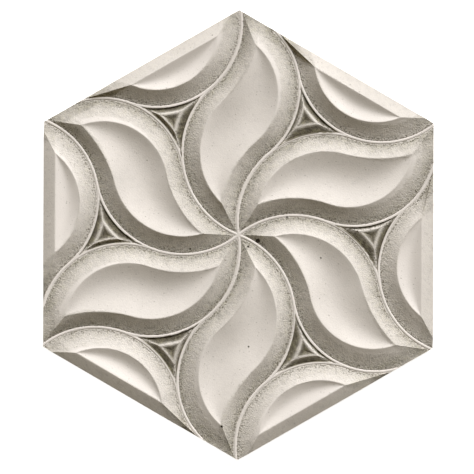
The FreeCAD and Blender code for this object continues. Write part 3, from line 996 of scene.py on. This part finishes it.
# %% The surface of the face
MOTTLE_HEIGHT, PORE_DROP, BUMP_DEPTH = 4.0, 2.0, 0.4 * MM
LOW_GLOSS = 0.25
shader = tree.nodes["Principled BSDF"]
tree.links.new(colour, shader.inputs["Base Color"])
dull = ramp(tree, grainy.outputs["Grain"], ((0.3, 0.72), (0.7, 0.58)))
tree.links.new(dull, shader.inputs["Roughness"])
rough = maths(tree, "MULTIPLY", grainy.outputs["Grain"], shade_and_stain.outputs["Grit"])
rough = plus_times(tree, rough, shade_and_stain.outputs["Blotch"], MOTTLE_HEIGHT)
height = maths(tree, "SUBTRACT", rough, maths(tree, "MULTIPLY", pore, PORE_DROP))
bump = add(tree, "ShaderNodeBump", {"Height": height, "Strength": 1.0, "Distance": BUMP_DEPTH})
tree.links.new(bump.outputs["Normal"], shader.inputs["Normal"])
shader.inputs["Specular IOR Level"].default_value = LOW_GLOSS
print(face.name, len(tree.nodes), "nodes")

# %% [markdown]
# The sides and the back get none of the face's painted shade and wash. They show the bare
# fired body, a little greyer and rougher than the face, with the same clouds and pores.

# %% The bare body
BODY = (0.62, 0.585, 0.53, 1)
BODY_ROUGHNESS, BODY_BUMP, BODY_DEPTH = 0.85, 0.5, 0.2 * MM
body = bpy.data.materials.new("bare body")
body.use_nodes = True
tree = body.node_tree
shader = tree.nodes["Principled BSDF"]
grainy = use_group(tree, clay, {"Pores": 1.0})
grain = grainy.outputs["Grain"]
clouded = ramp(tree, grainy.outputs["Cloud"], ((0.3, 0.85), (0.7, 1.0)))
colour = mixed(tree, 1.0, BODY, clouded, "MULTIPLY")
grained = ramp(tree, grain, ((0.3, 0.82), (0.65, 1.0)))
colour = mixed(tree, 1.0, colour, grained, "MULTIPLY")
colour = mixed(tree, grainy.outputs["Pore"], colour, PORE_BROWN)
tree.links.new(colour, shader.inputs["Base Color"])
shader.inputs["Roughness"].default_value = BODY_ROUGHNESS
bump = add(tree, "ShaderNodeBump", {"Height": grain, "Strength": BODY_BUMP, "Distance": BODY_DEPTH})
tree.links.new(bump.outputs["Normal"], shader.inputs["Normal"])
print(body.name, len(tree.nodes), "nodes")

# %% [markdown]
# Which faces are bare can be told from the mesh. They look down, or they stand upright in
# the tile's side. They are flat, so they aren't shaded smooth.

# %% Give each face its material
UPRIGHT, DOWNWARD = 0.1, -0.5
mesh.materials.clear()
for material in (face, body):
    mesh.materials.append(material)
sides = [bearing(TURN * count) for count in range(LEAVES)]
bare = 0
for polygon in mesh.polygons:
    at_side = max(side.dot(polygon.center) for side in sides) > HALF - FOOT_CHAMFER
    at_side = at_side and abs(polygon.normal.z) < UPRIGHT
    polygon.material_index = int(at_side or polygon.normal.z < DOWNWARD)
    polygon.use_smooth = not polygon.material_index
    bare += polygon.material_index
print("bare faces", bare, "of", len(mesh.polygons))

# %% [markdown]
# The photograph was cut out on pure white, so the floor glows. It does so fully for the
# camera alone, which the Light Path node tells, because a floor as bright as that would
# flood the sides of the tile with light. From below the floor is clear, so that the back
# can be looked at. It lies a hair under the tile, as two faces in one place would flicker.

# %% The floor
FLOOR_SIZE, FLOOR_GAP = 6, 0.3 * MM
PALE, WHITE = (0.8, 0.8, 0.8, 1), (1, 1, 1, 1)
GLOW, GLOW_SEEN = 0.25, 0.7  # for every ray, and what a ray from the camera sees on top
bpy.ops.mesh.primitive_plane_add(size=FLOOR_SIZE, location=(0, 0, -FLOOR_GAP))
floor = bpy.context.object
floor.name = "floor"
paper = bpy.data.materials.new("pale floor")
paper.use_nodes = True
tree = paper.node_tree
shader = tree.nodes["Principled BSDF"]
shader.inputs["Base Color"].default_value = PALE
shader.inputs["Emission Color"].default_value = WHITE
path = add(tree, "ShaderNodeLightPath")
glow = plus_times(tree, GLOW, path.outputs["Is Camera Ray"], GLOW_SEEN)
tree.links.new(glow, shader.inputs["Emission Strength"])
clear = add(tree, "ShaderNodeBsdfTransparent").outputs["BSDF"]
under = add(tree, "ShaderNodeNewGeometry").outputs["Backfacing"]
through = maths(tree, "MAXIMUM", under, path.outputs["Is Shadow Ray"])
both = add(tree, "ShaderNodeMixShader", {0: through, 1: shader.outputs["BSDF"], 2: clear})
tree.links.new(both.outputs["Shader"], tree.nodes["Material Output"].inputs["Surface"])
floor.data.materials.append(paper)
print("floor", FLOOR_SIZE, "m wide,", FLOOR_GAP / MM, "mm under the tile")

# %% [markdown]
# One large soft lamp stands low behind the tile and a little to the right, which is why
# the slopes that face it are nearly white. A weak warm light from all around fills the
# shade, and the camera alone sees a white backdrop instead. A second lamp shines from
# below, for views of the back. The floor lets its rays through, and no slope of the face
# looks down, so from above it changes nothing.

# %% The light all around
WARM, FILL_STRENGTH, BACKDROP_STRENGTH = (1, 0.8, 0.38, 1), 0.115, 0.9
world = bpy.context.scene.world or bpy.data.worlds.new("studio")
bpy.context.scene.world = world
world.use_nodes = True
tree = world.node_tree
fill = tree.nodes["Background"]
fill.inputs["Color"].default_value = WARM
fill.inputs["Strength"].default_value = FILL_STRENGTH
backdrop = add(tree, "ShaderNodeBackground", {"Color": WHITE, "Strength": BACKDROP_STRENGTH})
seen = add(tree, "ShaderNodeLightPath").outputs["Is Camera Ray"]
both = add(tree, "ShaderNodeMixShader", {0: seen, 1: fill.outputs[0], 2: backdrop.outputs[0]})
tree.links.new(both.outputs["Shader"], tree.nodes["World Output"].inputs["Surface"])
print("fill", FILL_STRENGTH, "and backdrop", BACKDROP_STRENGTH)


# %% The lamps
def add_sun(name, energy, spread, azimuth, elevation):
    """A sun lamp that shines from a direction. The wider its spread, the softer its shadows."""
    sun = bpy.data.lights.new(name, "SUN")
    sun.energy, sun.angle = energy, math.radians(spread)
    lamp = bpy.data.objects.new(name, sun)
    lamp.rotation_mode = "QUATERNION"
    level, height = math.cos(math.radians(elevation)), math.sin(math.radians(elevation))
    lamp.rotation_quaternion = (bearing(azimuth) * level + UP * height).to_track_quat("Z", "Y")
    bpy.context.scene.collection.objects.link(lamp)
    print(name, "at", azimuth, "degrees round and", elevation, "degrees up")


add_sun("key", energy=5.1, spread=30, azimuth=70, elevation=28)
add_sun("back_lamp", energy=1.5, spread=15, azimuth=200, elevation=-72)

# %% [markdown]
# The camera hangs a metre above the middle of the tile and looks straight down through a
# long lens, turned by the quarter of a degree that the photograph is. The Standard view
# keeps whites white, as a product photograph does.

# %% The camera
LENS, SENSOR = 100, 36
CAMERA_X, CAMERA_Y = -1.02 * MM, -1.46 * MM
FACE_LEVEL, CAMERA_AWAY = 9 * MM, 962.2 * MM
CAMERA_TURN = 0.26
camera_data = bpy.data.cameras.new("camera")
camera_data.lens = LENS
camera_data.sensor_width = SENSOR
camera = bpy.data.objects.new("camera", camera_data)
camera.location = (CAMERA_X, CAMERA_Y, CAMERA_AWAY + FACE_LEVEL)
camera.rotation_euler = (0, 0, math.radians(CAMERA_TURN))
bpy.context.scene.collection.objects.link(camera)
bpy.context.scene.camera = camera
bpy.context.scene.view_settings.view_transform = "Standard"
print("camera", round(camera.location.z, 3), "m up")
